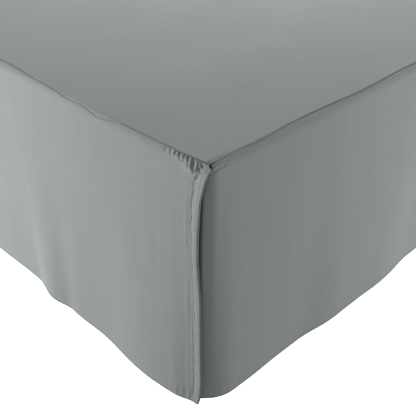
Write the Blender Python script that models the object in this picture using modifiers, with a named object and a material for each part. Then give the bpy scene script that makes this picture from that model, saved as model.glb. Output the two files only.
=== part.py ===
"""A bed skirt over the plain box base that it covers: one flat deck and three hanging drops.

X runs across the bed, +Y towards the head end and +Z up. The origin is on the floor, under
the middle of the base. Lengths are metres.
"""

import math
from collections import namedtuple

import bmesh
import bpy
from mathutils import Vector

# The box base, a queen-size foundation that stands on the floor.
BASE_WIDTH = 1.520
BASE_LENGTH = 2.030
UPRIGHT_RADIUS = 0.045
RIM_RADIUS = 0.014
TOE_RADIUS = 0.006

# The cloth, and how it lies on the base.
CLOTH = 0.0015
REST_GAP = 0.0003
SEAM_GAP = 0.0008
CLEARANCE = 0.002
DECK_TOP = 0.420
BASE_HEIGHT = DECK_TOP - CLOTH - REST_GAP
SEAM_INSET = 0.007
HANG = CLEARANCE + CLOTH
ROLL = SEAM_INSET + HANG
FOOT_HEM_HEIGHT = 0.039
SIDE_HEM_HEIGHT = 0.047

# How far each drop leans out at its hem, apart from its folds, which die away at its ends.
FOOT_FLARE = 0.0030
RIGHT_FLARE = 0.0005
LEFT_FLARE = 0.0020
CORNER_FADE = 0.050

# Under the seam the side drops turn round the corner on a small arc. Lower down they lean back to
# a wide arc that runs out straight behind the foot drop. They are cut away at the top there, and
# sag from the seam beside it.
TURN_RADIUS = 0.015
BEHIND_FOOT = 0.0065
WIDE_ANGLE = math.radians(40)
NEAREST_FOOT = 0.0078
UNDERLAP = 0.015
UNDERLAP_CUT = 0.007
UNDERLAP_SLANT = 0.004
SAG = 0.010
SAG_LENGTH = 0.012

# The free edges of the foot drop curl in towards the corner from some way below the seam.
TUCK = 0.0013
TUCK_WIDTH = 0.005
TUCK_FULL = 0.30

# The foot drop ends in a side hem with a puckered row of stitches, and is gathered beside it.
HEM_WIDTH = 0.012
HEM_CROWN = 0.0006
HEM_VALLEY = 0.0010
REACH_WIDTH = 0.040
GATHER_PITCH = 0.008
GATHER_REACH = 0.070
GATHER_HEIGHT = 0.0012
GATHER_TOP = 0.004
GATHER_SHORT = 0.014
GATHER_GROWTH = 0.016

# Columns of a drop, closer at its ends and along the length that one sees first, and its rows:
# shares of the bend over the rim, then shares of the fall below it.
FINE_STEP = 0.004
FINE_LENGTH = 0.068
SIDE_CORNER_COLUMNS = (-UNDERLAP, -0.012, -0.0085, -0.004, 0.0, 0.004, 0.0085, 0.016, 0.026, 0.038, 0.053, 0.070)
SEEN_STEP = 0.024
SEEN_LENGTH = 0.700
COARSE_STEP = 0.046
BEND_ROWS = (0.0, 0.07, 0.30, 0.62, 1.0)
BEND_END = 0.022
FALL_ROWS = (0.08, 0.20, 0.35, 0.51, 0.67, 0.84, 1.0)

# The deck's flat middle stops short of the seams, and two rings of cloth turn over the rim.
DECK_FLAT_MARGIN = 0.012
RING_OVER = {2: 0.0, 3: 0.6, 4: 1.0}

CLOTH_GREY = (0.29, 0.315, 0.315, 1.0)
BASE_WHITE = (0.86, 0.86, 0.83, 1.0)

UP = Vector((0.0, 0.0, 1.0))

# One side of the bed: the corner where its seam starts, the way that the seam runs and the
# way that the drop faces.
Edge = namedtuple("Edge", "start along out length")

# A soft fold in a drop: its middle, half its width and its depth at the hem, how far it leans
# sideways towards the top, and how late it grows down the drop.
Fold = namedtuple("Fold", "at half_width depth lean growth")

# A stretch where the seam is pulled over the rim.
Pull = namedtuple("Pull", "at half_width over")

# How far the free end of the foot drop stands past the corner, at a length down the cloth.
Reach = namedtuple("Reach", "down past")

FOOT_FOLDS = (
    Fold(0.112, 0.145, 0.0118, 0.010, 1.2),
    Fold(0.268, 0.095, 0.0060, -0.010, 1.5),
    Fold(0.343, 0.055, 0.0112, 0.015, 2.0),
    Fold(0.510, 0.080, 0.0015, 0.000, 1.4),
    Fold(0.660, 0.120, 0.0130, -0.020, 1.6),
    Fold(0.815, 0.070, 0.0060, 0.012, 2.0),
    Fold(0.980, 0.140, 0.0120, 0.015, 1.4),
    Fold(1.140, 0.065, 0.0070, -0.012, 2.0),
    Fold(1.290, 0.130, 0.0130, 0.010, 1.5),
    Fold(1.420, 0.090, 0.0080, 0.000, 1.3),
)
RIGHT_FOLDS = (
    Fold(0.070, 0.060, 0.0010, 0.000, 1.2),
    Fold(0.262, 0.090, 0.0075, 0.010, 1.6),
    Fold(0.375, 0.125, 0.0092, -0.012, 1.6),
    Fold(0.640, 0.130, 0.0120, 0.015, 1.5),
    Fold(0.800, 0.070, 0.0060, 0.000, 2.0),
    Fold(0.960, 0.140, 0.0130, -0.015, 1.4),
    Fold(1.160, 0.090, 0.0090, 0.012, 1.8),
    Fold(1.350, 0.150, 0.0140, 0.000, 1.4),
    Fold(1.540, 0.080, 0.0070, -0.010, 2.0),
    Fold(1.720, 0.140, 0.0120, 0.015, 1.5),
    Fold(1.900, 0.100, 0.0090, 0.000, 1.4),
)
LEFT_FOLDS = (
    Fold(0.120, 0.080, 0.0060, 0.000, 1.4),
    Fold(0.290, 0.120, 0.0110, -0.012, 1.6),
    Fold(0.470, 0.080, 0.0070, 0.010, 2.0),
    Fold(0.650, 0.150, 0.0130, 0.015, 1.4),
    Fold(0.860, 0.100, 0.0100, -0.010, 1.7),
    Fold(1.050, 0.130, 0.0120, 0.000, 1.5),
    Fold(1.230, 0.070, 0.0060, 0.012, 2.0),
    Fold(1.420, 0.150, 0.0140, -0.015, 1.4),
    Fold(1.620, 0.090, 0.0080, 0.010, 1.8),
    Fold(1.820, 0.140, 0.0120, 0.000, 1.5),
    Fold(1.960, 0.080, 0.0060, 0.000, 1.4),
)
FOOT_PULLS = (
    Pull(0.030, 0.030, 0.0025),
    Pull(0.085, 0.085, 0.0027),
    Pull(0.180, 0.045, 0.0055),
    Pull(0.230, 0.170, 0.0055),
    Pull(0.250, 0.030, 0.0018),
    Pull(0.345, 0.060, 0.0013),
    Pull(0.540, 0.130, 0.0030),
    Pull(0.830, 0.160, 0.0050),
    Pull(1.180, 0.150, 0.0040),
    Pull(1.390, 0.080, 0.0020),
)
RIGHT_PULLS = (
    Pull(0.080, 0.075, 0.0038),
    Pull(0.285, 0.110, 0.0032),
    Pull(0.520, 0.110, 0.0020),
    Pull(0.780, 0.150, 0.0050),
    Pull(1.200, 0.180, 0.0030),
    Pull(1.640, 0.160, 0.0050),
)
LEFT_PULLS = (
    Pull(0.160, 0.100, 0.0030),
    Pull(0.560, 0.170, 0.0050),
    Pull(0.980, 0.150, 0.0030),
    Pull(1.430, 0.180, 0.0060),
    Pull(1.780, 0.120, 0.0020),
)
FOOT_END_REACH = (
    Reach(0.0000, 0.0016),
    Reach(0.0035, 0.0070),
    Reach(0.0050, 0.0090),
    Reach(0.0066, 0.0128),
    Reach(0.0092, 0.0127),
    Reach(0.0154, 0.0111),
    Reach(0.0240, 0.0084),
    Reach(0.0380, 0.0044),
    Reach(0.0527, 0.0010),
    Reach(0.0957, -0.0028),
    Reach(0.1365, -0.0042),
    Reach(0.1955, -0.0004),
    Reach(0.3430, -0.0007),
    Reach(0.3774, -0.0056),
)

CORNER_X = BASE_WIDTH / 2 - SEAM_INSET
CORNER_Y = BASE_LENGTH / 2 - SEAM_INSET
FOOT_EDGE = Edge(Vector((CORNER_X, -CORNER_Y, 0)), Vector((-1, 0, 0)), Vector((0, -1, 0)), 2 * CORNER_X)
RIGHT_EDGE = Edge(Vector((CORNER_X, -CORNER_Y, 0)), Vector((0, 1, 0)), Vector((1, 0, 0)), 2 * CORNER_Y)
LEFT_EDGE = Edge(Vector((-CORNER_X, -CORNER_Y, 0)), Vector((0, 1, 0)), Vector((-1, 0, 0)), 2 * CORNER_Y)


def smooth(t):
    """0 below 0, 1 above 1, and an even slope between."""
    t = min(max(t, 0.0), 1.0)
    return t * t * (3 - 2 * t)


def bump(away, half_width):
    """A raised cosine: 1 in the middle and 0 from half_width outwards."""
    share = abs(away) / half_width
    return 0.5 * (1 + math.cos(math.pi * share)) if share < 1 else 0.0


def seam_over(pulls, s):
    """How far over the rim the seam lies, along the cloth."""
    return sum(pull.over * bump(s - pull.at, pull.half_width) for pull in pulls)


def fold_depth(folds, s, share):
    """How far the folds stand out at s, with share 0 under the rim and 1 at the hem."""
    total = 0.0
    for fold in folds:
        middle = fold.at + fold.lean * (1 - share)
        total += fold.depth * share**fold.growth * bump(s - middle, fold.half_width)
    return total


def tuck(share):
    """How far the foot drop's free edges curl in, with share 0 under the rim and 1 at the hem."""
    return TUCK * smooth(share / TUCK_FULL)


def wrap(seam, low, a):
    """Plan point, depth and slope of the cloth at length a past the seam's line, as it bends over
    the rim from the plan point seam to the plan point low and hangs from there."""
    radius = (low - seam).length
    slope = min(a / radius, math.pi / 2)
    return seam + (low - seam) * math.sin(slope), a + radius * (1 - math.cos(slope) - slope), slope


class Drop:
    """The outer face of one drop, as a surface over s along its seam and a down the cloth."""

    def __init__(self, edge, folds, pulls, hem_height, flare):
        self.edge = edge
        self.folds = folds
        self.pulls = pulls
        self.hem_depth = DECK_TOP - hem_height
        self.flare = flare

    def plan(self, out, along):
        return self.edge.start + self.edge.out * out + self.edge.along * along

    def seam_and_low(self, s):
        """Plan points of the seam and of the cloth that hangs below it, and its outward way."""
        return self.plan(0, s), self.plan(ROLL, s), self.edge.out

    def swell(self, s, share):
        """How far the cloth stands off its straight fall."""
        return (self.flare * share + fold_depth(self.folds, s, share)) * self.fade(s)

    def fade(self, s):
        """The folds die away towards the ends."""
        return smooth(s / CORNER_FADE) * smooth((self.edge.length - s) / CORNER_FADE)

    def detail(self, s, a):
        """Small relief on top of the folds."""
        return 0.0

    def shift(self, s, a):
        """How far a point moves along the seam's way."""
        return 0.0

    def lean(self, s, share):
        """How the cloth at the corners moves away from its straight fall."""
        return Vector()

    def share(self, depth):
        return min(max((depth - ROLL) / (self.hem_depth - ROLL), 0.0), 1.0)

    def point(self, s, a):
        seam, low, outward = self.seam_and_low(s)
        place, depth, slope = wrap(seam, low, a)
        share = self.share(depth)
        normal = outward * math.sin(slope) + UP * math.cos(slope)
        place = place + outward * self.swell(s, share) + normal * self.detail(s, a)
        place = place + self.edge.along * self.shift(s, a) + self.lean(s, share)
        return place + UP * (DECK_TOP - depth)

    def top(self, s):
        """Where the drop starts below the seam's line."""
        return seam_over(self.pulls, s) + SEAM_GAP

    def hem(self, s):
        """The length of cloth that brings the hem to its height."""
        seam, low, _ = self.seam_and_low(s)
        radius = (low - seam).length
        return self.hem_depth + radius * (math.pi / 2 - 1)

    def rows(self, s):
        """The lengths down the cloth at which it is sampled."""
        top = self.top(s)
        hem = self.hem(s)
        bend = [top + (BEND_END - top) * share for share in BEND_ROWS]
        return bend + [BEND_END + (hem - BEND_END) * share for share in FALL_ROWS]


class FootDrop(Drop):
    """The drop across the foot end, whose hemmed ends lie over the side drops."""

    def from_end(self, s):
        return min(s, self.edge.length - s)

    def columns(self):
        start = even(0.0, FINE_LENGTH, FINE_STEP)
        end = [self.edge.length - s for s in reversed(start)]
        return start + spread(start[-1], end[0])[1:-1] + end

    def detail(self, s, a):
        """The side hem, and the gathers under the seam beside each corner."""
        end = self.from_end(s)
        crown = HEM_CROWN * bump(end - HEM_WIDTH / 2, HEM_WIDTH / 2)
        valley = HEM_VALLEY * bump(end - HEM_WIDTH, FINE_STEP)
        below = a - self.top(s)
        near = smooth(1 - (end - HEM_WIDTH) / GATHER_REACH)
        ridge = GATHER_HEIGHT * near * math.cos(2 * math.pi * (end - HEM_WIDTH) / GATHER_PITCH)
        ridge *= smooth(below / GATHER_TOP) * (1 - smooth(below / (GATHER_SHORT + GATHER_GROWTH * near)))
        return (crown - valley) * smooth(below / BEND_END) - ridge

    def lean(self, s, share):
        return self.edge.out * -tuck(share) * max(1 - self.from_end(s) / TUCK_WIDTH, 0.0) ** 2

    def shift(self, s, a):
        """The free ends stand past the corner under the seam and draw back towards the hem."""
        rows = FOOT_END_REACH
        past = rows[-1].past
        for upper, lower in zip(rows, rows[1:]):
            if a < lower.down:
                part = (a - upper.down) / (lower.down - upper.down)
                past = upper.past + (lower.past - upper.past) * part
                break
        near = 1 - smooth(self.from_end(s) / REACH_WIDTH)
        return -past * near if s < self.edge.length / 2 else past * near


class SideDrop(Drop):
    """A drop along one side, which starts under the foot drop and follows the upright corner."""

    def columns(self):
        corner = list(SIDE_CORNER_COLUMNS)
        return corner + spread(corner[-1], self.edge.length)[1:]

    def seam_and_low(self, s):
        start = TURN_RADIUS - BEHIND_FOOT
        if s >= start:
            return super().seam_and_low(s)
        seam = self.plan(0, s) if s >= 0 else self.plan(s, 0)
        return seam, *self.turned(s, start, TURN_RADIUS, math.pi / 2)

    def turned(self, s, start, radius, most):
        """Plan point and outward way of cloth that turns from start on an arc, up to an angle."""
        angle = min((start - s) / radius, most)
        outward = self.edge.out * math.cos(angle) - self.edge.along * math.sin(angle)
        onward = -self.edge.out * math.sin(angle) - self.edge.along * math.cos(angle)
        middle = self.plan(ROLL - radius, start)
        return middle + outward * radius + onward * (start - s - angle * radius), outward

    def lean(self, s, share):
        """The cloth leans from the small arc to the wide one, and keeps behind the foot drop."""
        start = UPRIGHT_RADIUS - SEAM_INSET
        if s >= start:
            return Vector()
        wide = self.turned(s, start, UPRIGHT_RADIUS + HANG, WIDE_ANGLE)[0]
        low = self.seam_and_low(s)[1]
        place = low + (wide - low) * share
        too_near = max(-NEAREST_FOOT + tuck(share) - (place - self.edge.start).dot(self.edge.along), 0.0)
        return place - low + self.edge.along * too_near

    def top(self, s):
        """The cloth sags from the seam at the corner, and is cut away above the underlap."""
        sag = SAG * max(1 - max(s, 0.0) / SAG_LENGTH, 0.0) ** 1.3
        cut = UNDERLAP_CUT * smooth(-s / UNDERLAP_SLANT)
        return super().top(s) + sag + cut


def even(first, last, step):
    """Even steps from first to last, of about the given length."""
    count = round((last - first) / step)
    return [first + (last - first) * k / count for k in range(count + 1)]


def spread(first, last):
    """Columns from first to last, closer together along the seen length."""
    return even(first, SEEN_LENGTH, SEEN_STEP) + even(SEEN_LENGTH, last, COARSE_STEP)[1:]


def material(name, colour, roughness):
    made = bpy.data.materials.new(name)
    made.use_nodes = True
    shader = made.node_tree.nodes["Principled BSDF"]
    shader.inputs["Base Color"].default_value = colour
    shader.inputs["Roughness"].default_value = roughness
    shader.inputs["Metallic"].default_value = 0.0
    return made


def add_object(name, bm, collection, look):
    """Turns the bmesh into an object of the collection, shaded smooth."""
    mesh = bpy.data.meshes.new(name)
    bm.to_mesh(mesh)
    bm.free()
    mesh.shade_smooth()
    mesh.set_sharp_from_angle(angle=math.radians(40))
    mesh.materials.append(look)
    obj = bpy.data.objects.new(name, mesh)
    collection.objects.link(obj)
    return obj


def add_sheet(name, bm, outward, collection, look):
    """Cloth whose right side is the bmesh, an open surface that faces the way outward."""
    bm.normal_update()
    facing = sum((face.normal * face.calc_area() for face in bm.faces), Vector())
    if facing.dot(outward) < 0:
        bmesh.ops.reverse_faces(bm, faces=bm.faces)
    obj = add_object(name, bm, collection, look)
    thickness = obj.modifiers.new("cloth", "SOLIDIFY")
    thickness.thickness = CLOTH
    thickness.offset = -1
    return obj


def build_drop(name, drop, collection, look):
    """A grid with a column for each sampled s and a row for each sampled length of cloth."""
    columns = drop.columns()
    rows = [drop.rows(s) for s in columns]
    wide = len(columns) - 1
    high = len(rows[0]) - 1
    bm = bmesh.new()
    bmesh.ops.create_grid(bm, x_segments=wide, y_segments=high, size=0.5)
    for vert in bm.verts:
        i = round((vert.co.x + 0.5) * wide)
        j = round((vert.co.y + 0.5) * high)
        vert.co = drop.point(columns[i], rows[i][j])
    return add_sheet(name, bm, drop.edge.out, collection, look)


def deck_border(foot, right, left):
    """The deck's border, anticlockwise from the right-hand corner at the foot, as (drop, s)."""
    up_right = [(right, s) for s in right.columns() if s >= 0]
    down_left = [(left, s) for s in reversed(left.columns()) if s >= 0]
    foot_run = [(foot, s) for s in reversed(foot.columns())]
    return up_right + down_left + foot_run[1:-1]


def deck_point(drop, s, ring):
    """A point of the deck's right side: ring 1 bounds its flat middle, 2 lies on the seam's
    line, and 4 is where the cloth that turns over the rim is sewn to the drop."""
    if ring == 1:
        inset = DECK_FLAT_MARGIN
        return drop.plan(-inset, min(max(s, inset), drop.edge.length - inset)) + UP * DECK_TOP
    over = seam_over(drop.pulls, s) * RING_OVER[ring]
    place, depth, _ = wrap(drop.plan(0, s), drop.plan(ROLL, s), over)
    return place + UP * (DECK_TOP - depth)


def build_deck(name, foot, right, left, collection, look):
    """A flat face inside, a ring of flat cloth round it, and rings that turn over the rim."""
    border = deck_border(foot, right, left)
    count = len(border)
    bm = bmesh.new()
    bmesh.ops.create_circle(bm, cap_ends=True, segments=count, radius=1)
    for ring in RING_OVER:
        rim = [edge for edge in bm.edges if edge.is_boundary]
        made = bmesh.ops.extrude_edge_only(bm, edges=rim)["geom"]
        for vert in (item for item in made if isinstance(item, bmesh.types.BMVert)):
            vert.co = vert.co.normalized() * ring
    for vert in bm.verts:
        turn = math.atan2(vert.co.y, vert.co.x) / (2 * math.pi)
        drop, s = border[round(turn * count) % count]
        vert.co = deck_point(drop, s, round(vert.co.length))
    return add_sheet(name, bm, UP, collection, look)


def build_base(name, collection, look):
    """A box with rounded uprights and softly rounded rims."""
    bm = bmesh.new()
    bmesh.ops.create_cube(bm, size=1)
    for vert in bm.verts:
        vert.co = Vector((vert.co.x * BASE_WIDTH, vert.co.y * BASE_LENGTH, (vert.co.z + 0.5) * BASE_HEIGHT))
    uprights = [edge for edge in bm.edges if abs(edge.verts[0].co.z - edge.verts[1].co.z) > BASE_HEIGHT / 2]
    bmesh.ops.bevel(bm, geom=uprights, offset=UPRIGHT_RADIUS, segments=6, profile=0.5, affect="EDGES")
    for height, radius, segments in ((BASE_HEIGHT, RIM_RADIUS, 4), (0.0, TOE_RADIUS, 2)):
        rim = [edge for edge in bm.edges if all(abs(vert.co.z - height) < 1e-5 for vert in edge.verts)]
        bmesh.ops.bevel(bm, geom=rim, offset=radius, segments=segments, profile=0.5, affect="EDGES")
    return add_object(name, bm, collection, look)


def main():
    for obj in list(bpy.data.objects):
        bpy.data.objects.remove(obj, do_unlink=True)
    collection = bpy.data.collections.new("bed_skirt")
    bpy.context.scene.collection.children.link(collection)

    foot = FootDrop(FOOT_EDGE, FOOT_FOLDS, FOOT_PULLS, FOOT_HEM_HEIGHT, FOOT_FLARE)
    right = SideDrop(RIGHT_EDGE, RIGHT_FOLDS, RIGHT_PULLS, SIDE_HEM_HEIGHT, RIGHT_FLARE)
    left = SideDrop(LEFT_EDGE, LEFT_FOLDS, LEFT_PULLS, SIDE_HEM_HEIGHT, LEFT_FLARE)

    build_base("base", collection, material("base_cover", BASE_WHITE, 0.85))
    build_deck("deck", foot, right, left, collection, material("deck_cloth", CLOTH_GREY, 0.9))
    build_drop("drop_foot", foot, collection, material("foot_cloth", CLOTH_GREY, 0.9))
    build_drop("drop_right", right, collection, material("right_cloth", CLOTH_GREY, 0.9))
    build_drop("drop_left", left, collection, material("left_cloth", CLOTH_GREY, 0.9))


main()
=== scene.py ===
import math
from collections import namedtuple

import bmesh
import bpy
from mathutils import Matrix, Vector, noise


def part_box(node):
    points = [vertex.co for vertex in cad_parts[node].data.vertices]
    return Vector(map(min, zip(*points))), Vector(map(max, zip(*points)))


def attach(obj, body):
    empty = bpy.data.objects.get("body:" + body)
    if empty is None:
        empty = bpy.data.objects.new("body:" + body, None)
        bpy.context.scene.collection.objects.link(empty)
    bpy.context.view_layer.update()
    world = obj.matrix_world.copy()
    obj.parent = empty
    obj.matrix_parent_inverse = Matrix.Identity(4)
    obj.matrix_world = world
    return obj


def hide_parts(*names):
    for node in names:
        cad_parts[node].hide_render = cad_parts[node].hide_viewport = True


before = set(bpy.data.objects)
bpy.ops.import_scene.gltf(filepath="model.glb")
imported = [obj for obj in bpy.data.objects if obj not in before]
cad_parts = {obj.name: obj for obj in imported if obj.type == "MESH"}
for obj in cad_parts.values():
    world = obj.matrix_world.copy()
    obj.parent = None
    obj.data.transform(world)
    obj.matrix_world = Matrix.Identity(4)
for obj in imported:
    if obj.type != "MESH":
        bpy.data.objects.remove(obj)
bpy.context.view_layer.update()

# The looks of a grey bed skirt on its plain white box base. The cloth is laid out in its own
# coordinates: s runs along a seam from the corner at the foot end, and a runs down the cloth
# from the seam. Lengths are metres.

# Sizes of the frame's solids, read from them or repeated.
BASE_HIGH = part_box("base")[1]
DECK_TOP = 0.420
SEAM_INSET = 0.007
HANG = 0.0035
ROLL = SEAM_INSET + HANG
FOOT_HEM_HEIGHT = 0.0370
SIDE_HEM_HEIGHT = 0.0445
FOOT_FLARE = 0.0030
RIGHT_FLARE = 0.0005
LEFT_FLARE = 0.0020
CORNER_FADE = 0.050

CORNER_X = BASE_HIGH[0] - SEAM_INSET
CORNER_Y = BASE_HIGH[1] - SEAM_INSET

# The cloth's thickness: single, and folded in its hems.
CLOTH = 0.0008
HEM_CLOTH = 0.0016

# The seams: how deep and wide they are sunk, the gap between the two cloths, and the least
# length that a seam lies over the rim.
SEAM_GROOVE = 0.0014
SEAM_GROOVE_WIDTH = 0.0016
SEAM_GAP = 0.0003
SEAM_LEAST = 0.0005

# The hems: their width at the free ends, the stitched line above the edge, the swelling and the
# puckers about it, and the edge that is turned in.
HEM_WIDTH = 0.012
HEM_REACH = 0.045
STITCH_LINE = 0.011
STITCH_DEPTH = 0.00055
STITCH_HALF_WIDTH = 0.0030
HEM_SWELL = 0.0010
HEM_SWELL_ABOVE = 0.0080
HEM_SWELL_HALF_WIDTH = 0.0120
PUCKER = 0.00032
PUCKER_PITCH = 0.0105
PUCKER_ABOVE = 0.013
PUCKER_HALF_WIDTH = 0.014
HEM_TURN = 0.0005
HEM_TURN_WIDTH = 0.0028

# Painted shade: how far the cloth's colour is darkened in its seams, along its hems and along the
# foot drop's free edges, how wide that is, and the light that the darkest place keeps.
SEAM_SHADE = 0.5
SEAM_SHADE_WIDTH = 0.0014
EDGE_SHADE = 0.9
HEM_SHADE_FULL = 0.0020
HEM_SHADE_FADE = 0.0026
FREE_SHADE_FULL = 0.0003
FREE_SHADE_FADE = 0.0009
FREE_SHADE_START = 0.120
FREE_SHADE_GROWTH = 0.060
SHADE_KEPT = 0.35

# Under the seam the side drops turn round the corner on a small arc. Lower down they lean back to
# a wide arc that runs out straight behind the foot drop, and keep a least distance behind it.
# They are cut away at the top there, and sag from the seam beside it.
TURN_RADIUS = 0.015
BEHIND_FOOT = 0.0065
WIDE_RADIUS = 0.045
WIDE_ANGLE = math.radians(40)
NEAREST_FOOT = 0.0078
UNDERLAP = 0.0155
UNDERLAP_CUT = 0.011
UNDERLAP_WHOLE = 0.0025
UNDERLAP_SLANT = 0.0045
SAG = 0.0052
SAG_LENGTH = 0.0042

# The side drops' seam is open at the split corners, and only softly sunk for a length from there.
OPEN_UNTIL = 0.002
OPEN_FADE = 0.003
SOFT_FROM = 0.008
SOFT_GROWTH = 0.014
SOFT_UNTIL = 0.10
SOFT_FADE = 0.06
SOFT_SHARE = 0.65

# The dim hollow under the foot seam, a length in from the free ends.
HOLLOW = 0.0020
HOLLOW_DOWN = 0.0165
HOLLOW_HALF_WIDTH = 0.0125
HOLLOW_FROM = 0.020
HOLLOW_GROWTH = 0.014
HOLLOW_UNTIL = 0.050
HOLLOW_FADE = 0.050

# The deck's lip and the fold behind it, along the open part of the side seams.
LIP = 0.0011
LIP_IN = 0.0005
LIP_HALF_WIDTH = 0.0016
LIP_FOLD = 0.0005
LIP_FOLD_AT_CORNER = 0.0007
LIP_FOLD_IN = 0.0031
LIP_FOLD_HALF_WIDTH = 0.0020
LIP_UNTIL = 0.024
LIP_FADE = 0.020

# Steps of the grids: until a length from the start, and the size of the step.
Step = namedtuple("Step", "until step")
FOOT_STEPS = (Step(0.018, 0.0008), Step(0.062, 0.0011), Step(0.110, 0.0022), Step(2.0, 0.0056))
SIDE_STEPS = (Step(0.028, 0.0010), Step(0.080, 0.0024), Step(0.7, 0.0050))
SIDE_MIDDLE_STEP = 0.0070
SIDE_LAST_STEP = 0.0020
SIDE_LAST_LENGTH = 0.03
DECK_STEPS = (
    Step(0.0032, 0.0008),
    Step(0.008, 0.0016),
    Step(0.030, 0.0040),
    Step(0.12, 0.010),
    Step(5.0, 0.022),
)
HEAD_STEPS = (Step(0.0018, 0.0006), Step(0.026, 0.0011), Step(0.034, 0.0020))
HEAD_LENGTH = 0.034
FOOT_ROW_STEPS = (Step(0.004, 0.0010), Step(0.030, 0.0026))
FOOT_ROW_LENGTH = 0.030
MIDDLE_ROWS = 46
FREE_END_LENGTH = 0.0182
FREE_END_SPLIT = 4

UP = Vector((0.0, 0.0, 1.0))

# One side of the bed: the corner where its seam starts, the way that the seam runs and the
# way that the drop faces.
Edge = namedtuple("Edge", "start along out length")

# A soft fold in a drop: its middle, half its width and its depth at the hem, how far it leans
# sideways towards the top, and how late it grows down the drop.
Fold = namedtuple("Fold", "at half_width depth lean growth")

# A stretch where the seam is pulled over the rim.
Pull = namedtuple("Pull", "at half_width over")

# A stretch of small gathers under a seam.
Gather = namedtuple("Gather", "at half_width height reach")

# The free edges of the foot drop curl in towards the corner from some way below the seam.
TUCK = 0.0013
TUCK_WIDTH = 0.005
TUCK_FULL = 0.30

# How far the free end of the foot drop stands past the corner, at a length down the cloth.
Reach = namedtuple("Reach", "down past")

# A crease from one place to another, each given as a distance along and down the cloth, with
# half its width and its height: above 0 a ridge, below 0 a trough.
Crease = namedtuple("Crease", "along0 down0 along1 down1 half_width height")

FOOT_FOLDS = (
    Fold(0.112, 0.145, 0.0118, 0.010, 1.2),
    Fold(0.268, 0.095, 0.0060, -0.010, 1.5),
    Fold(0.343, 0.055, 0.0112, 0.015, 2.0),
    Fold(0.510, 0.080, 0.0015, 0.000, 1.4),
    Fold(0.660, 0.120, 0.0130, -0.020, 1.6),
    Fold(0.815, 0.070, 0.0060, 0.012, 2.0),
    Fold(0.980, 0.140, 0.0120, 0.015, 1.4),
    Fold(1.140, 0.065, 0.0070, -0.012, 2.0),
    Fold(1.290, 0.130, 0.0130, 0.010, 1.5),
    Fold(1.420, 0.090, 0.0080, 0.000, 1.3),
)
RIGHT_FOLDS = (
    Fold(0.070, 0.060, 0.0010, 0.000, 1.2),
    Fold(0.262, 0.090, 0.0075, 0.010, 1.6),
    Fold(0.375, 0.125, 0.0092, -0.012, 1.6),
    Fold(0.640, 0.130, 0.0120, 0.015, 1.5),
    Fold(0.800, 0.070, 0.0060, 0.000, 2.0),
    Fold(0.960, 0.140, 0.0130, -0.015, 1.4),
    Fold(1.160, 0.090, 0.0090, 0.012, 1.8),
    Fold(1.350, 0.150, 0.0140, 0.000, 1.4),
    Fold(1.540, 0.080, 0.0070, -0.010, 2.0),
    Fold(1.720, 0.140, 0.0120, 0.015, 1.5),
    Fold(1.900, 0.100, 0.0090, 0.000, 1.4),
)
LEFT_FOLDS = (
    Fold(0.120, 0.080, 0.0060, 0.000, 1.4),
    Fold(0.290, 0.120, 0.0110, -0.012, 1.6),
    Fold(0.470, 0.080, 0.0070, 0.010, 2.0),
    Fold(0.650, 0.150, 0.0130, 0.015, 1.4),
    Fold(0.860, 0.100, 0.0100, -0.010, 1.7),
    Fold(1.050, 0.130, 0.0120, 0.000, 1.5),
    Fold(1.230, 0.070, 0.0060, 0.012, 2.0),
    Fold(1.420, 0.150, 0.0140, -0.015, 1.4),
    Fold(1.620, 0.090, 0.0080, 0.010, 1.8),
    Fold(1.820, 0.140, 0.0120, 0.000, 1.5),
    Fold(1.960, 0.080, 0.0060, 0.000, 1.4),
)
FOOT_PULLS = (
    Pull(0.030, 0.030, 0.0016),
    Pull(0.085, 0.085, 0.0027),
    Pull(0.180, 0.045, 0.0055),
    Pull(0.230, 0.170, 0.0055),
    Pull(0.250, 0.030, 0.0018),
    Pull(0.345, 0.060, 0.0013),
    Pull(0.540, 0.130, 0.0030),
    Pull(0.830, 0.160, 0.0050),
    Pull(1.180, 0.150, 0.0040),
    Pull(1.390, 0.080, 0.0020),
)
RIGHT_PULLS = (
    Pull(0.000, 0.050, 0.0030),
    Pull(0.080, 0.075, 0.0038),
    Pull(0.285, 0.110, 0.0032),
    Pull(0.520, 0.110, 0.0020),
    Pull(0.780, 0.150, 0.0050),
    Pull(1.200, 0.180, 0.0030),
    Pull(1.640, 0.160, 0.0050),
)
LEFT_PULLS = (
    Pull(0.000, 0.040, 0.0020),
    Pull(0.160, 0.100, 0.0030),
    Pull(0.560, 0.170, 0.0050),
    Pull(0.980, 0.150, 0.0030),
    Pull(1.430, 0.180, 0.0060),
    Pull(1.780, 0.120, 0.0020),
)
FOOT_GATHERS = (
    Gather(0.115, 0.050, 0.0006, 0.014),
    Gather(0.270, 0.070, 0.0003, 0.010),
    Gather(0.385, 0.045, 0.0006, 0.014),
    Gather(0.620, 0.110, 0.0005, 0.014),
    Gather(0.930, 0.140, 0.0006, 0.016),
    Gather(1.220, 0.120, 0.0005, 0.014),
    Gather(1.390, 0.060, 0.0007, 0.016),
)
RIGHT_GATHERS = (
    Gather(0.090, 0.060, 0.0002, 0.012),
    Gather(0.330, 0.120, 0.0002, 0.012),
    Gather(0.720, 0.150, 0.0005, 0.014),
    Gather(1.130, 0.160, 0.0004, 0.016),
    Gather(1.560, 0.180, 0.0005, 0.014),
    Gather(1.860, 0.100, 0.0004, 0.012),
)
LEFT_GATHERS = (
    Gather(0.120, 0.080, 0.0005, 0.014),
    Gather(0.520, 0.150, 0.0005, 0.014),
    Gather(0.940, 0.160, 0.0004, 0.016),
    Gather(1.380, 0.170, 0.0005, 0.014),
    Gather(1.800, 0.120, 0.0004, 0.014),
)
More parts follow.
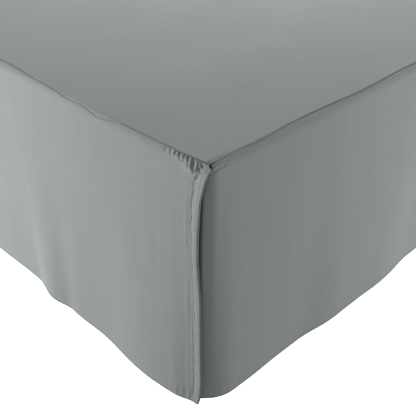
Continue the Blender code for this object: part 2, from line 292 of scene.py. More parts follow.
FOOT_END_REACH = (
    Reach(0.0000, 0.0016),
    Reach(0.0008, 0.0030),
    Reach(0.0035, 0.0070),
    Reach(0.0050, 0.0090),
    Reach(0.0062, 0.0124),
    Reach(0.0074, 0.0133),
    Reach(0.0092, 0.0127),
    Reach(0.0120, 0.0120),
    Reach(0.0154, 0.0111),
    Reach(0.0209, 0.0094),
    Reach(0.0295, 0.0067),
    Reach(0.0380, 0.0044),
    Reach(0.0450, 0.0027),
    Reach(0.0527, 0.0006),
    Reach(0.0628, -0.0006),
    Reach(0.0791, -0.0020),
    Reach(0.0957, -0.0036),
    Reach(0.1365, -0.0050),
    Reach(0.1672, -0.0028),
    Reach(0.1955, -0.0008),
    Reach(0.2500, -0.0009),
    Reach(0.3430, -0.0010),
    Reach(0.3638, -0.0028),
    Reach(0.3774, -0.0050),
    Reach(0.3890, -0.0086),
)
REACH_WIDTH = 0.040

# The sunk line that holds the foot drop's side hems: its depth and half its width, at a length
# down the cloth.
Sunk = namedtuple("Sunk", "down depth half_width")
SIDE_HEM_LINE = (
    Sunk(0.000, 0.0014, 0.0028),
    Sunk(0.088, 0.0013, 0.0028),
    Sunk(0.107, 0.0001, 0.0026),
    Sunk(0.180, 0.0001, 0.0018),
    Sunk(0.200, 0.0005, 0.0018),
    Sunk(0.260, 0.0009, 0.0018),
    Sunk(0.378, 0.0012, 0.0020),
)

# Gathers and pinches beside the free ends of the foot drop, from the end.
FOOT_END_CREASES = (
    Crease(0.0468, 0.0051, 0.0472, 0.0085, 0.0020, 0.0008),
    Crease(0.0419, 0.0040, 0.0398, 0.0085, 0.0020, 0.0010),
    Crease(0.0354, 0.0035, 0.0323, 0.0083, 0.0022, 0.0013),
    Crease(0.0304, 0.0035, 0.0272, 0.0093, 0.0021, 0.0013),
    Crease(0.0244, 0.0030, 0.0210, 0.0148, 0.0022, 0.0017),
    Crease(0.0182, 0.0034, 0.0146, 0.0133, 0.0021, 0.0017),
    Crease(0.0146, 0.0133, 0.0157, 0.0185, 0.0018, 0.0010),
    Crease(0.0158, 0.0034, 0.0125, 0.0080, 0.0013, 0.0010),
    Crease(0.0607, 0.0060, 0.0592, 0.0102, 0.0024, -0.0009),
    Crease(0.0515, 0.0060, 0.0500, 0.0105, 0.0026, -0.0009),
    Crease(0.0447, 0.0045, 0.0436, 0.0095, 0.0022, -0.0010),
    Crease(0.0390, 0.0035, 0.0350, 0.0124, 0.0022, -0.0013),
    Crease(0.0325, 0.0040, 0.0298, 0.0120, 0.0020, -0.0013),
    Crease(0.0273, 0.0040, 0.0236, 0.0165, 0.0022, -0.0017),
    Crease(0.0212, 0.0045, 0.0172, 0.0190, 0.0024, -0.0021),
    Crease(0.0012, 0.0078, 0.0010, 0.0150, 0.0012, 0.0009),
    Crease(0.0034, 0.0070, 0.0030, 0.0130, 0.0012, -0.0007),
    Crease(0.0120, 0.0050, 0.0109, 0.0082, 0.0013, -0.0020),
    Crease(0.0128, 0.0105, 0.0092, 0.0156, 0.0018, -0.0014),
    Crease(0.0114, 0.0180, 0.0124, 0.0250, 0.0020, -0.0015),
)

# The ridge that runs out of the split at the corner, along the tops of the side drops.
SIDE_START_CREASES = (
    Crease(-0.0010, 0.0100, 0.0046, 0.0089, 0.0018, 0.0020),
    Crease(0.0046, 0.0089, 0.0105, 0.0091, 0.0018, 0.0020),
    Crease(0.0105, 0.0091, 0.0192, 0.0086, 0.0019, 0.0014),
    Crease(0.0000, 0.0130, 0.0190, 0.0118, 0.0030, -0.0012),
)

FOOT_EDGE = Edge(Vector((CORNER_X, -CORNER_Y, 0)), Vector((-1, 0, 0)), Vector((0, -1, 0)), 2 * CORNER_X)
RIGHT_EDGE = Edge(Vector((CORNER_X, -CORNER_Y, 0)), Vector((0, 1, 0)), Vector((1, 0, 0)), 2 * CORNER_Y)
LEFT_EDGE = Edge(Vector((-CORNER_X, -CORNER_Y, 0)), Vector((0, 1, 0)), Vector((-1, 0, 0)), 2 * CORNER_Y)

# The photo's view: the camera's place from the near corner of the deck, in deck heights, and
# its aim.
CAMERA_FROM_CORNER = Vector((1.1137, -1.0874, 0.0))
CAMERA_HEIGHT = 1.8817
CAMERA_HEADING = math.radians(135.591)
CAMERA_PITCH = math.radians(-33.234)
CAMERA_FOCAL_PIXELS = 695.16
PHOTO_PIXELS = 416
SENSOR = 36.0

# The studio's soft light from level with the bed, and from straight above and below.
WORLD_LEVEL = 1.31
WORLD_STEEP = 0.12

# Lamps beside the far ends of the sides in view and over the deck, so that the near corner is
# darkest, and a weak one for the side behind.
Lamp = namedtuple("Lamp", "name place target size energy")
LAMPS = (
    Lamp("key", (-1.6, -2.6, 1.2), (0.0, -1.0, 0.22), 1.2, 69.6),
    Lamp("key_low", (-0.55, -1.9, 0.25), (0.0, -1.0, 0.22), 0.6, 25.2),
    Lamp("right", (1.65, 0.3, 0.25), (0.8, -0.2, 0.22), 0.6, 23.3),
    Lamp("over", (-0.15, 0.35, 1.6), (-0.1, 0.2, 0.42), 0.8, 28.0),
    Lamp("over_high", (-0.2, 0.4, 2.6), (0.0, 0.0, 0.42), 1.2, 28.0),
    Lamp("front", (2.2, -2.4, 1.6), (0.75, -1.0, 0.25), 1.0, 8.0),
    Lamp("behind", (-2.6, 1.8, 1.4), (-0.8, 0.4, 0.3), 1.5, 30.0),
)
BASE_LAMP = Lamp("white", (2.0, -2.3, 0.5), (0.75, -1.0, 0.03), 1.2, 60.0)


def smooth(t):
    """0 below 0, 1 above 1, and an even slope between."""
    t = min(max(t, 0.0), 1.0)
    return t * t * (3 - 2 * t)


def bump(away, half_width):
    """A raised cosine: 1 in the middle and 0 from half_width outwards."""
    share = abs(away) / half_width
    return 0.5 * (1 + math.cos(math.pi * share)) if share < 1 else 0.0


def waver(x, y=0.0, z=0.0):
    """Smooth noise from about -1 to 1, with features one unit long."""
    return noise.noise(Vector((x, y, z)))


def from_rows(rows, down):
    """The values of a table's rows at a length down the cloth."""
    for upper, lower in zip(rows, rows[1:]):
        if down < lower.down:
            part = max((down - upper.down) / (lower.down - upper.down), 0.0)
            return [u + (l - u) * part for u, l in zip(upper[1:], lower[1:])]
    return list(rows[-1][1:])


def crease_relief(creases, along, down):
    """The creases' relief at a place on the cloth."""
    total = 0.0
    for crease in creases:
        run = (crease.along1 - crease.along0, crease.down1 - crease.down0)
        way = (along - crease.along0, down - crease.down0)
        part = (way[0] * run[0] + way[1] * run[1]) / (run[0] ** 2 + run[1] ** 2)
        part = min(max(part, 0.0), 1.0)
        away = math.hypot(way[0] - part * run[0], way[1] - part * run[1])
        total += crease.height * bump(away, crease.half_width)
    return total


def seam_over(pulls, s):
    """How far over the rim the seam lies, along the cloth."""
    return SEAM_LEAST + sum(pull.over * bump(s - pull.at, pull.half_width) for pull in pulls)


def fold_depth(folds, s, share):
    """How far the folds stand out at s, with share 0 under the rim and 1 at the hem."""
    total = 0.0
    for fold in folds:
        middle = fold.at + fold.lean * (1 - share)
        total += fold.depth * share**fold.growth * bump(s - middle, fold.half_width)
    return total


def gather_height(gathers, s, below):
    """Small uneven gathers at s, at a length below the seam."""
    total = 0.0
    for gather in gathers:
        part = bump(s - gather.at, gather.half_width)
        if part > 0 and below < gather.reach:
            phase = s / 0.0072 + 0.6 * waver(s / 0.021, 3.0)
            crest = (0.5 + 0.5 * math.cos(2 * math.pi * phase)) ** 1.4
            strength = 0.65 + 0.6 * waver(s / 0.013, 9.0)
            total += gather.height * part * crest * strength * (1 - smooth(below / gather.reach))
    return total


def tuck(share):
    """How far the foot drop's free edges curl in, with share 0 under the rim and 1 at the hem."""
    return TUCK * smooth(share / TUCK_FULL)


def wrap(seam, low, a):
    """Plan point, depth and slope of the cloth at length a past the seam's line, as it bends over
    the rim from the plan point seam to the plan point low and hangs from there."""
    radius = (low - seam).length
    slope = min(a / radius, math.pi / 2)
    return seam + (low - seam) * math.sin(slope), a + radius * (1 - math.cos(slope) - slope), slope


class Drop:
    """The outer face of one drop, as a surface over s along its seam and a down the cloth."""

    def __init__(self, edge, folds, pulls, gathers, hem_height, flare, seed):
        self.edge = edge
        self.folds = folds
        self.pulls = pulls
        self.gathers = gathers
        self.hem_depth = DECK_TOP - hem_height
        self.flare = flare
        self.seed = seed

    def plan(self, out, along):
        return self.edge.start + self.edge.out * out + self.edge.along * along

    def seam_and_low(self, s):
        """Plan points of the seam and of the cloth that hangs below it, and its outward way."""
        return self.plan(0, s), self.plan(ROLL, s), self.edge.out

    def swell(self, s, share):
        """How far the cloth stands off its straight fall."""
        return (self.flare * share + fold_depth(self.folds, s, share)) * self.fade(s)

    def fade(self, s):
        """The folds die away towards the ends."""
        return smooth(s / CORNER_FADE) * smooth((self.edge.length - s) / CORNER_FADE)

    def end_relief(self, s, a):
        """Relief at the drop's free ends."""
        return 0.0

    def relief(self, s, a):
        """Everything finer than the folds, along the cloth's normal."""
        below = a - self.top(s)
        above = self.hem(s) - a
        height = gather_height(self.gathers, s, below)
        height += self.streaks(s, below, above)
        height += hem_relief(s, above, self.seed)
        height += self.end_relief(s, a)
        return height - SEAM_GROOVE * self.closed(s) * (1 - smooth(below / SEAM_GROOVE_WIDTH))

    def shade(self, s, a):
        """Painted shade: how far the cloth's colour is darkened in its seam and at its turned edge."""
        seam = self.closed(s) * (1 - smooth((a - self.top(s)) / SEAM_SHADE_WIDTH))
        edge = 1 - smooth((self.hem(s) - a - HEM_SHADE_FULL) / HEM_SHADE_FADE)
        return max(SEAM_SHADE * seam, EDGE_SHADE * edge)

    def closed(self, s):
        """1 where the seam is sewn shut."""
        return 1.0

    def streaks(self, s, below, above):
        """Faint upright creases and slack in the hanging cloth."""
        fine = 0.00016 * waver(s / 0.012, below / 0.22, self.seed)
        broad = 0.00055 * waver(s / 0.045, below / 0.30, self.seed + 5)
        return (fine + broad) * smooth(below / 0.03)

    def shift(self, s, a):
        """How far a point moves along the seam's way."""
        return 0.0

    def lean(self, s, share):
        """How the cloth at the corners moves away from its straight fall."""
        return Vector()

    def share(self, depth):
        return min(max((depth - ROLL) / (self.hem_depth - ROLL), 0.0), 1.0)

    def point(self, s, a):
        seam, low, outward = self.seam_and_low(s)
        place, depth, slope = wrap(seam, low, a)
        share = self.share(depth)
        normal = outward * math.sin(slope) + UP * math.cos(slope)
        place = place + outward * self.swell(s, share) + normal * self.relief(s, a)
        place = place + self.edge.along * self.shift(s, a) + self.lean(s, share)
        return place + UP * (DECK_TOP - depth)

    def top(self, s):
        """Where the drop starts below the seam's line."""
        return seam_over(self.pulls, s) + SEAM_GAP

    def hem(self, s):
        """The length of cloth that brings the hem to its height."""
        seam, low, _ = self.seam_and_low(s)
        radius = (low - seam).length
        return self.hem_depth + radius * (math.pi / 2 - 1)


def hem_relief(s, above, seed):
    """The hem: its stitched line, the small puckers about it and its turned-in fold."""
    if above > HEM_REACH:
        return 0.0
    line = STITCH_DEPTH * bump(above - STITCH_LINE, STITCH_HALF_WIDTH)
    phase = s / PUCKER_PITCH + 0.8 * waver(s / 0.03, seed)
    strength = 0.6 + 0.8 * waver(s / 0.05, seed + 2)
    pucker = PUCKER * math.cos(2 * math.pi * phase) * strength * bump(above - PUCKER_ABOVE, PUCKER_HALF_WIDTH)
    swell = HEM_SWELL * bump(above - HEM_SWELL_ABOVE, HEM_SWELL_HALF_WIDTH)
    turned = HEM_TURN * (1 - smooth(above / HEM_TURN_WIDTH))
    return pucker + swell - line - turned


class FootDrop(Drop):
    """The drop across the foot end, whose hemmed ends lie over the side drops."""

    def from_end(self, s):
        return min(s, self.edge.length - s)

    def end_relief(self, s, a):
        """The side hem with its puckered stitches, and the gathers and the hollow under the seam."""
        end = self.from_end(s)
        if end > 0.12:
            return 0.0
        below = a - self.top(s)
        settled = smooth((a - 0.014) / 0.012) * (0.3 + 0.7 * smooth((self.hem(s) - a) / 0.020))
        turned = 0.0007 * (1 - smooth(end / 0.0018))
        beside = smooth((end - HOLLOW_FROM) / HOLLOW_GROWTH) * (1 - smooth((end - HOLLOW_UNTIL) / HOLLOW_FADE))
        hollow = HOLLOW * bump(a - HOLLOW_DOWN, HOLLOW_HALF_WIDTH) * beside
        creases = crease_relief(FOOT_END_CREASES, end, a)
        return self.side_hem(end, a, below) * settled - turned - hollow + creases

    def side_hem(self, end, a, below):
        """The folded edge, the dimpled hem, the sunk line that holds it and the slack beside it."""
        braid = waver(below / 0.011, 1.0, self.seed)
        line = 0.0135 + 0.0012 * waver(below / 0.017, 5.0, self.seed)
        depth, half_width = from_rows(SIDE_HEM_LINE, a)
        trough = depth * (0.7 + 0.6 * braid) * bump(end - line, half_width)
        second = line - 0.0032 + 0.0012 * waver(below / 0.012, 9.0, self.seed)
        trough += 0.0005 * (0.6 - braid) * bump(end - second, 0.0022)
        crown = 0.0007 * bump(end - 0.0020, 0.0028) + 0.0006 * bump(end - 0.0062, 0.0050)
        slanted = waver((below + 0.9 * end) / 0.0046, end / 0.0060, self.seed + 1)
        dimples = 0.00050 * slanted * bump(end - 0.007, 0.0065)
        dragged = waver((below + 1.3 * end) / 0.012, end / 0.008, self.seed + 3)
        drawn = 0.0006 * dragged * bump(end - line, 0.010)
        slack = 0.0004 * bump(end - 0.0225, 0.0060) - 0.0003 * bump(end - 0.0182, 0.0045)
        slack *= 0.6 + 1.1 * waver(below / 0.06, 13.0, self.seed)
        return crown - trough + dimples + drawn + slack

    def lean(self, s, share):
        """The free edges curl in."""
        return self.edge.out * -tuck(share) * max(1 - self.from_end(s) / TUCK_WIDTH, 0.0) ** 2

    def shade(self, s, a):
        """Painted shade along the free edges too, from some way below the seam, for the shadow where they stand
        over the side drops.
        """
        edge = 1 - smooth((self.from_end(s) - FREE_SHADE_FULL) / FREE_SHADE_FADE)
        return max(super().shade(s, a), EDGE_SHADE * edge * smooth((a - FREE_SHADE_START) / FREE_SHADE_GROWTH))

    def shift(self, s, a):
        """The free ends stand past the corner under the seam and draw back towards the hem."""
        past = from_rows(FOOT_END_REACH, a)[0]
        near = 1 - smooth(self.from_end(s) / REACH_WIDTH)
        return -past * near if s < self.edge.length / 2 else past * near

    def columns(self):
        ends = graded(0.0, self.edge.length / 2, FOOT_STEPS)
        return ends + [self.edge.length - s for s in reversed(ends[:-1])]

    def split(self, s):
        """How many rows the drop has for each row of its middle."""
        return FREE_END_SPLIT if self.from_end(s) < FREE_END_LENGTH else 1


class SideDrop(Drop):
    """A drop along one side, which starts under the foot drop and follows the upright corner."""

    def columns(self):
        end = self.edge.length
        steps = SIDE_STEPS + (Step(end - SIDE_LAST_LENGTH, SIDE_MIDDLE_STEP), Step(end, SIDE_LAST_STEP))
        return graded(-UNDERLAP, end, steps)

    def split(self, s):
        return 1

    def closed(self, s):
        """The seam is open at the split, and only softly sunk beside it."""
        soft = smooth((s - SOFT_FROM) / SOFT_GROWTH) * (1 - smooth((s - SOFT_UNTIL) / SOFT_FADE))
        return smooth((s - OPEN_UNTIL) / OPEN_FADE) * (1 - SOFT_SHARE * soft)

    def shade(self, s, a):
        """Painted shade on the hidden end behind the foot drop too, for the shadow there."""
        return max(super().shade(s, a), 1 - smooth((s + 0.0120) / 0.0040))

    def seam_and_low(self, s):
        start = TURN_RADIUS - BEHIND_FOOT
        if s >= start:
            return super().seam_and_low(s)
        seam = self.plan(0, s) if s >= 0 else self.plan(s, 0)
        return seam, *self.turned(s, start, TURN_RADIUS, math.pi / 2)

    def turned(self, s, start, radius, most):
        """Plan point and outward way of cloth that turns from start on an arc, up to an angle."""
        angle = min((start - s) / radius, most)
        outward = self.edge.out * math.cos(angle) - self.edge.along * math.sin(angle)
        onward = -self.edge.out * math.sin(angle) - self.edge.along * math.cos(angle)
        middle = self.plan(ROLL - radius, start)
        return middle + outward * radius + onward * (start - s - angle * radius), outward

    def lean(self, s, share):
        """The cloth leans from the small arc to the wide one, and keeps behind the foot drop."""
        start = WIDE_RADIUS - SEAM_INSET
        if s >= start:
            return Vector()
        wide = self.turned(s, start, WIDE_RADIUS + HANG, WIDE_ANGLE)[0]
        low = self.seam_and_low(s)[1]
        place = low + (wide - low) * share
        behind = (place - self.edge.start).dot(self.edge.along)
        too_near = max(-NEAREST_FOOT + tuck(share) - behind, 0.0)
        return place - low + self.edge.along * too_near

    def top(self, s):
        """The cloth sags from the seam at the corner, and is cut away above the underlap."""
        sag = SAG * max(1 - max(s, 0.0) / SAG_LENGTH, 0.0) ** 2
        cut = UNDERLAP_CUT * smooth((UNDERLAP_WHOLE + s) / -UNDERLAP_SLANT)
        return super().top(s) + sag + cut

    def end_relief(self, s, a):
        """The ridge out of the split at the corner, and the side hem at the head end."""
        if s < 0.05:
            return crease_relief(SIDE_START_CREASES, s, a)
        end = self.edge.length - s
        line = 0.0006 * bump(end - STITCH_LINE, 0.0030)
        turned = 0.0012 * (1 - smooth(end / 0.0028))
        return -line - turned


def graded(first, last, steps):
    """Places from first to last whose steps grow: each row of steps is (until, step)."""
    places = [first]
    for until, step in steps:
        end = min(until, last)
        if end <= places[-1]:
            continue
        start = places[-1]
        count = max(1, math.ceil((end - start) / step - 1e-6))
        places += [start + (end - start) * k / count for k in range(1, count + 1)]
    return places


def make_object(name, bm):
    mesh = bpy.data.meshes.new(name)
    bm.to_mesh(mesh)
    bm.free()
    mesh.shade_smooth()
    obj = bpy.data.objects.new(name, mesh)
    bpy.context.scene.collection.objects.link(obj)
    return obj


def faces_between(left, right):
    """The corners of the faces between two columns, of which one may have more rows."""
    bands = min(len(left), len(right)) - 1
    splits = (len(left) - 1) // bands, (len(right) - 1) // bands
    for k in range(bands):
        down = right[k * splits[1] : (k + 1) * splits[1] + 1]
        back = left[k * splits[0] : (k + 1) * splits[0] + 1]
        yield [back[0]] + down + back[:0:-1]


def sheet_from_grid(name, columns, rows, place, outward, hem_weight, shade):
    """A grid of cloth. rows(i) gives the lengths down column i, place(i, a) a point,
    hem_weight(i, a) is 1 where the cloth is folded in a hem, and shade(i, a) is how far painted shade darkens
    it."""
    bm = bmesh.new()
    # Painted shade: how far each point's colour is darkened, kept for the cloth's material.
    painted_shade_attribute = bm.verts.layers.float.new("shade")
    uv = bm.loops.layers.uv.new("cloth")
    deform = bm.verts.layers.deform.verify()
    grid = []
    for i, s in enumerate(columns):
        line = []
        for a in rows(i):
            vert = bm.verts.new(place(i, a))
            vert[deform][0] = hem_weight(i, a)
            vert[painted_shade_attribute] = shade(i, a)
            line.append((vert, (s, a)))
        grid.append(line)
    for left, right in zip(grid, grid[1:]):
        for corners in faces_between(left, right):
            face = bm.faces.new([vert for vert, _ in corners])
            for loop, (_, key) in zip(face.loops, corners):
                loop[uv].uv = key
    bm.normal_update()
    facing = sum((face.normal * face.calc_area() for face in bm.faces), Vector())
    if facing.dot(outward) < 0:
        bmesh.ops.reverse_faces(bm, faces=bm.faces)
    obj = make_object(name, bm)
    obj.vertex_groups.new(name="hem")
    thicken = obj.modifiers.new("cloth", "SOLIDIFY")
    thicken.thickness = HEM_CLOTH
    thicken.offset = -1
    thicken.vertex_group = "hem"
    thicken.thickness_vertex_group = CLOTH / HEM_CLOTH
    return obj


def drop_rows(top, hem, split):
    """Lengths down a drop: close together at the seam and the hem, each row split into some."""
    head = graded(top, top + HEAD_LENGTH, [(top + until, step) for until, step in HEAD_STEPS])
    foot = [hem - length for length in graded(0.0, FOOT_ROW_LENGTH, FOOT_ROW_STEPS)]
    middle = [head[-1] + (foot[-1] - head[-1]) * k / MIDDLE_ROWS for k in range(1, MIDDLE_ROWS)]
    rows = head + middle + foot[::-1]
    parts = []
    for upper, lower in zip(rows, rows[1:]):
        parts += [upper + (lower - upper) * k / split for k in range(split)]
    return parts + [rows[-1]]


def build_drop(name, drop):
    columns = drop.columns()
    tops = [drop.top(s) for s in columns]
    hems = [drop.hem(s) for s in columns]

    def hem_weight(i, a):
        folded = hems[i] - a < STITCH_LINE
        if isinstance(drop, FootDrop):
            return float(folded or drop.from_end(columns[i]) < HEM_WIDTH)
        return float(folded or drop.edge.length - columns[i] < STITCH_LINE)

    return sheet_from_grid(
        name,
        columns,
        lambda i: drop_rows(tops[i], hems[i], drop.split(columns[i])),
        lambda i, a: drop.point(columns[i], a),
        drop.edge.out,
        hem_weight,
        lambda i, a: drop.shade(columns[i], a),
    )


def deck_places(half):
    """Places across the deck, close together beside the seams."""
    side = [half - inset for inset in graded(0.0, half, DECK_STEPS)]
    return sorted([-place for place in side[:-1]] + side)


# Rings of the deck past the rim: up to the seam, and the allowance that is turned in under the
# drop. Each has its share of the way to the seam, its length past it and its depth below the face.
Ring = namedtuple("Ring", "share past sunk")
RINGS = (
    Ring(0.25, 0.0, 0.0),
    Ring(0.50, 0.0, 0.0),
    Ring(0.75, 0.0, 0.0),
    Ring(0.90, 0.0, 0.0),
    Ring(1.00, 0.0, 0.0),
    Ring(1.00, 0.0004, 0.0010),
    Ring(1.00, 0.0040, 0.0012),
    Ring(1.00, 0.0085, 0.0014),
)
SPLIT_SUNK = 0.0026


def past_rim(drop, s, ring):
    """How far the deck's ring lies out from the seam's line, and how far down. The allowance is
    trimmed away at the foot drop's ends and the head end, and hangs back in the split corners."""
    seam, low, _ = drop.seam_and_low(max(s, 0.0))
    radius = (low - seam).length
    trim = smooth((drop.edge.length - s - 0.016) / 0.008)
    split = 0.0
    if isinstance(drop, FootDrop):
        trim *= smooth((s - 0.016) / 0.008)
    elif ring.past > 0.001:
        split = 1 - smooth((s - 0.006) / 0.010)
    length = seam_over(drop.pulls, s) * ring.share + ring.past * (0.05 + 0.95 * trim)
    reach = radius - ring.sunk - SPLIT_SUNK * split
    angle = length / radius
    return (low - seam).normalized() * reach * math.sin(angle) - UP * (radius - reach * math.cos(angle))


def build_deck(name, foot, right, left):
    """The deck: flat, a little slack, and turned over the rim to meet the drops' seams."""
    flat = Ring(0.0, 0.0, 0.0)
    xs = [(-CORNER_X, ring) for ring in reversed(RINGS)] + [(x, flat) for x in deck_places(CORNER_X)]
    xs += [(CORNER_X, ring) for ring in RINGS]
    ys = [(-CORNER_Y, ring) for ring in reversed(RINGS)] + [(y, flat) for y in deck_places(CORNER_Y)]

    def place(x, x_ring, y, y_ring):
        side = right if x > 0 else left
        along_side = y + CORNER_Y
        along_foot = CORNER_X - x
        point = Vector((x, y, DECK_TOP))
        if x_ring is not flat:
            point += past_rim(side, along_side, x_ring)
        if y_ring is not flat:
            point += past_rim(foot, along_foot, y_ring)
        to_side = CORNER_X - abs(x) + seam_over(side.pulls, along_side) * (1 - x_ring.share)
        to_foot = y + CORNER_Y + seam_over(foot.pulls, along_foot) * (1 - y_ring.share)
        return point + UP * deck_relief(x, y, to_side, to_foot)

    bm = bmesh.new()
    uv = bm.loops.layers.uv.new("cloth")
    # Painted shade, kept on each point for the cloth's material.
    painted_shade_attribute = bm.verts.layers.float.new("shade")
    grid = [[bm.verts.new(place(x, x_ring, y, y_ring)) for y, y_ring in ys] for x, x_ring in xs]
    # Painted shade: the allowance turned in under the drops is darkened along the foot end and near the split
    # corners, for the shadow deep in them.
    for line, (_, x_ring) in zip(grid, xs):
        for vert, (_, y_ring) in zip(line, ys):
            turned_in = float(x_ring.past + y_ring.past > 0.0)
            vert[painted_shade_attribute] = turned_in * (1 - smooth((vert.co.y + CORNER_Y - 0.004) / 0.008))
    for left_line, right_line in zip(grid, grid[1:]):
        for k in range(len(ys) - 1):
            face = bm.faces.new((left_line[k], right_line[k], right_line[k + 1], left_line[k + 1]))
            for loop in face.loops:
                loop[uv].uv = loop.vert.co.xy
    obj = make_object(name, bm)
    thicken = obj.modifiers.new("cloth", "SOLIDIFY")
    thicken.thickness = CLOTH
    thicken.offset = -1
    return obj


def deck_relief(x, y, to_side, to_foot):
    """Slack over the whole deck, puckers and the sunk seam along its edges, and the lip at the
    split corners."""
    nearest = min(to_side, to_foot)
    slack = 0.0007 * waver(x / 0.23, y / 0.31, 1.0) + 0.0003 * waver(x / 0.07, y / 0.09, 4.0)
    slack *= smooth(nearest / 0.05)
    along = y if to_side < to_foot else x
    phase = along / 0.0085 + 0.7 * waver(along / 0.03, 7.0)
    strength = 0.00022 * (0.5 + waver(along / 0.06, 2.0))
    pucker = strength * math.cos(2 * math.pi * phase) * bump(nearest - 0.004, 0.009)
    along_side = y + CORNER_Y
    split = 1 - smooth((along_side - LIP_UNTIL) / LIP_FADE)
    fold = LIP_FOLD + LIP_FOLD_AT_CORNER * (1 - smooth(along_side / 0.012))
    lip = LIP * bump(to_side - LIP_IN, LIP_HALF_WIDTH) - fold * bump(to_side - LIP_FOLD_IN, LIP_FOLD_HALF_WIDTH)
    groove = SEAM_GROOVE * (1 - smooth(to_foot / SEAM_GROOVE_WIDTH))
    groove = max(groove, SEAM_GROOVE * (1 - smooth(to_side / SEAM_GROOVE_WIDTH)) * (1 - split))
    return slack + pucker + lip * split - groove


def add_node(tree, kind, **values):
    """A node whose named inputs take the values."""
    node = tree.nodes.new(kind)
    for key, value in values.items():
        node.inputs[key.replace("_", " ")].default_value = value
    return node


def stretched(tree, uv, scale):
    """The cloth's own coordinates, stretched by scale."""
    mapping = tree.nodes.new("ShaderNodeMapping")
    mapping.inputs["Scale"].default_value = scale
    tree.links.new(uv.outputs["UV"], mapping.inputs["Vector"])
    return mapping.outputs["Vector"]


def noise_field(tree, vector, detail=2.0):
    field = add_node(tree, "ShaderNodeTexNoise", Scale=1.0, Detail=detail, Roughness=0.5)
    tree.links.new(vector, field.inputs["Vector"])
    return field.outputs["Fac"]


def scaled(tree, value, low, high):
    """Maps a field from 0.3 to 0.7 onto low to high."""
    ranged = tree.nodes.new("ShaderNodeMapRange")
    ranged.inputs["From Min"].default_value = 0.3
    ranged.inputs["From Max"].default_value = 0.7
    ranged.inputs["To Min"].default_value = low
    ranged.inputs["To Max"].default_value = high
    tree.links.new(value, ranged.inputs["Value"])
    return ranged.outputs["Result"]


def product(tree, first, second):
    node = tree.nodes.new("ShaderNodeMath")
    node.operation = "MULTIPLY"
    tree.links.new(first, node.inputs[0])
    tree.links.new(second, node.inputs[1])
    return node.outputs["Value"]


def cloth_material(name, colour, thread, mottle, sheen):
    """Plain woven cloth: crossed threads, slubs along the warp, slow mottling, and painted shade in its
    seams and along its edges."""
    made = bpy.data.materials.new(name)
    made.use_nodes = True
    tree = made.node_tree
    shader = tree.nodes["Principled BSDF"]
    uv = tree.nodes.new("ShaderNodeUVMap")
    uv.uv_map = "cloth"

    warp_slub = noise_field(tree, stretched(tree, uv, (420.0, 9.0, 1.0)))
    weft_slub = noise_field(tree, stretched(tree, uv, (7.0, 500.0, 1.0)))
    patches = noise_field(tree, stretched(tree, uv, (9.0, 5.0, 1.0)), 3.0)
    tone = product(tree, scaled(tree, warp_slub, 1 - mottle, 1 + mottle), scaled(tree, patches, 0.985, 1.015))
    tone = product(tree, tone, scaled(tree, weft_slub, 1 - mottle * 0.6, 1 + mottle * 0.6))
    # Painted shade: the points' shade value darkens the colour, down to SHADE_KEPT of it where the value is 1.
    painted_shade_attribute = tree.nodes.new("ShaderNodeAttribute")
    painted_shade_attribute.attribute_name = "shade"
    light_kept_under_painted_shade = tree.nodes.new("ShaderNodeMapRange")
    light_kept_under_painted_shade.inputs["To Min"].default_value = 1.0
    light_kept_under_painted_shade.inputs["To Max"].default_value = SHADE_KEPT
    tree.links.new(painted_shade_attribute.outputs["Fac"], light_kept_under_painted_shade.inputs["Value"])
    tone = product(tree, tone, light_kept_under_painted_shade.outputs["Result"])

    tint = tree.nodes.new("ShaderNodeVectorMath")
    tint.operation = "SCALE"
    tint.inputs[0].default_value = colour
    tree.links.new(tone, tint.inputs["Scale"])
    tree.links.new(tint.outputs["Vector"], shader.inputs["Base Color"])
    tree.links.new(scaled(tree, patches, 0.80, 0.92), shader.inputs["Roughness"])

    warp = add_node(tree, "ShaderNodeTexWave", Scale=1.0, Distortion=0.6)
    tree.links.new(stretched(tree, uv, (0.5 / thread, 0.0, 0.0)), warp.inputs["Vector"])
    weft = add_node(tree, "ShaderNodeTexWave", Scale=1.0, Distortion=0.6)
    weft.bands_direction = "Y"
    tree.links.new(stretched(tree, uv, (0.0, 0.5 / thread, 0.0)), weft.inputs["Vector"])
    weave = product(tree, warp.outputs["Fac"], weft.outputs["Fac"])
    fine = add_node(tree, "ShaderNodeBump", Strength=0.20, Distance=0.00012)
    tree.links.new(weave, fine.inputs["Height"])
    slubs = add_node(tree, "ShaderNodeBump", Strength=0.25, Distance=0.00020)
    tree.links.new(warp_slub, slubs.inputs["Height"])
    tree.links.new(fine.outputs["Normal"], slubs.inputs["Normal"])
    tree.links.new(slubs.outputs["Normal"], shader.inputs["Normal"])

    shader.inputs["Sheen Weight"].default_value = sheen
    shader.inputs["Sheen Roughness"].default_value = 0.5
    shader.inputs["Specular IOR Level"].default_value = 0.25
    return made


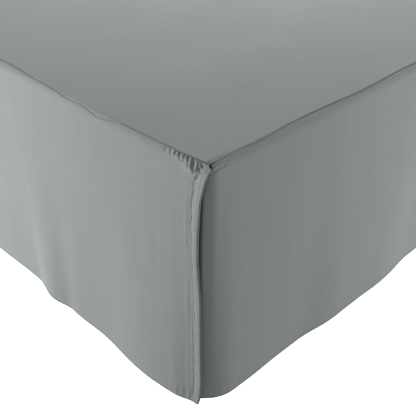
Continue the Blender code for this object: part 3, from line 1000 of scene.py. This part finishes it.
def base_material(name):
    """A white woven cover with a faint warm unevenness."""
    made = bpy.data.materials.new(name)
    made.use_nodes = True
    tree = made.node_tree
    shader = tree.nodes["Principled BSDF"]
    place = tree.nodes.new("ShaderNodeTexCoord")
    tone = add_node(tree, "ShaderNodeTexNoise", Scale=14.0, Detail=4.0)
    tree.links.new(place.outputs["Object"], tone.inputs["Vector"])
    tint = tree.nodes.new("ShaderNodeVectorMath")
    tint.operation = "SCALE"
    tint.inputs[0].default_value = (0.90, 0.90, 0.875)
    tree.links.new(scaled(tree, tone.outputs["Fac"], 0.985, 1.015), tint.inputs["Scale"])
    tree.links.new(tint.outputs["Vector"], shader.inputs["Base Color"])
    grain = add_node(tree, "ShaderNodeTexNoise", Scale=900.0, Detail=2.0)
    tree.links.new(place.outputs["Object"], grain.inputs["Vector"])
    relief = add_node(tree, "ShaderNodeBump", Strength=0.2, Distance=0.0003)
    tree.links.new(grain.outputs["Fac"], relief.inputs["Height"])
    tree.links.new(relief.outputs["Normal"], shader.inputs["Normal"])
    tree.links.new(scaled(tree, tone.outputs["Fac"], 0.80, 0.90), shader.inputs["Roughness"])
    shader.inputs["Specular IOR Level"].default_value = 0.3
    return made


def floor_material(name):
    made = bpy.data.materials.new(name)
    made.use_nodes = True
    shader = made.node_tree.nodes["Principled BSDF"]
    shader.inputs["Base Color"].default_value = (0.93, 0.93, 0.93, 1.0)
    shader.inputs["Roughness"].default_value = 0.9
    shader.inputs["Emission Color"].default_value = (1.0, 1.0, 1.0, 1.0)
    shader.inputs["Emission Strength"].default_value = 0.75
    return made


def add_floor():
    bm = bmesh.new()
    bmesh.ops.create_grid(bm, x_segments=1, y_segments=1, size=12.0)
    floor = make_object("floor", bm)
    floor.data.materials.append(floor_material("floor_white"))
    floor.visible_diffuse = False


def add_camera():
    data = bpy.data.cameras.new("camera")
    data.sensor_width = SENSOR
    data.lens = SENSOR * CAMERA_FOCAL_PIXELS / PHOTO_PIXELS
    camera = bpy.data.objects.new("camera", data)
    corner = Vector((CORNER_X, -CORNER_Y, 0.0))
    camera.location = corner + CAMERA_FROM_CORNER * DECK_TOP + UP * CAMERA_HEIGHT * DECK_TOP
    camera.rotation_euler = (math.pi / 2 + CAMERA_PITCH, 0.0, CAMERA_HEADING - math.pi / 2)
    bpy.context.scene.collection.objects.link(camera)
    bpy.context.scene.camera = camera


def add_area_light(name, place, target, size, energy):
    data = bpy.data.lights.new(name, "AREA")
    data.shape = "SQUARE"
    data.size = size
    data.energy = energy
    lamp = bpy.data.objects.new(name, data)
    lamp.location = place
    lamp.rotation_euler = (Vector(target) - Vector(place)).to_track_quat("-Z", "Y").to_euler()
    bpy.context.scene.collection.objects.link(lamp)
    return lamp


def add_lights(base):
    """The studio's lamps and its soft surrounding light, and a lamp that lights the base only."""
    for lamp in LAMPS:
        add_area_light(*lamp)
    white = add_area_light(*BASE_LAMP)
    white.light_linking.receiver_collection = bpy.data.collections.new("base_only")
    white.light_linking.receiver_collection.objects.link(base)
    world = bpy.data.worlds.new("studio")
    world.use_nodes = True
    tree = world.node_tree
    way = tree.nodes.new("ShaderNodeTexCoord")
    parts = tree.nodes.new("ShaderNodeSeparateXYZ")
    tree.links.new(way.outputs["Generated"], parts.inputs["Vector"])
    tilt = tree.nodes.new("ShaderNodeMath")
    tilt.operation = "ABSOLUTE"
    tree.links.new(parts.outputs["Z"], tilt.inputs[0])
    rise = tree.nodes.new("ShaderNodeMapRange")
    rise.inputs["From Max"].default_value = 0.6
    rise.inputs["To Min"].default_value = WORLD_LEVEL
    rise.inputs["To Max"].default_value = WORLD_STEEP
    tree.links.new(tilt.outputs["Value"], rise.inputs["Value"])
    tree.links.new(rise.outputs["Result"], tree.nodes["Background"].inputs["Strength"])
    tree.nodes["Background"].inputs["Color"].default_value = (0.96, 0.98, 1.0, 1.0)
    bpy.context.scene.world = world
    bpy.context.scene.view_settings.view_transform = "Standard"


def main():
    foot = FootDrop(FOOT_EDGE, FOOT_FOLDS, FOOT_PULLS, FOOT_GATHERS, FOOT_HEM_HEIGHT, FOOT_FLARE, 11.0)
    right = SideDrop(RIGHT_EDGE, RIGHT_FOLDS, RIGHT_PULLS, RIGHT_GATHERS, SIDE_HEM_HEIGHT, RIGHT_FLARE, 23.0)
    left = SideDrop(LEFT_EDGE, LEFT_FOLDS, LEFT_PULLS, LEFT_GATHERS, SIDE_HEM_HEIGHT, LEFT_FLARE, 37.0)
    grey = cloth_material("skirt_grey", (0.144, 0.156, 0.156), 0.00045, 0.03, 0.08)

    deck_piece = build_deck("deck_cloth", foot, right, left)
    deck_piece.data.materials.append(grey)
    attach(deck_piece, "root")
    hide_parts("deck")

    for name, node, drop, width in (
        ("foot_cloth", "drop_foot", foot, 1.56),
        ("right_cloth", "drop_right", right, 2.07),
        ("left_cloth", "drop_left", left, 2.07),
    ):
        piece = build_drop(name, drop)
        piece.data.materials.append(grey)
        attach(piece, "root")
        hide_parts(node)

    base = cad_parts["base"]
    base.data.materials.clear()
    base.data.materials.append(base_material("base_white"))

    add_floor()
    add_camera()
    add_lights(base)


main()
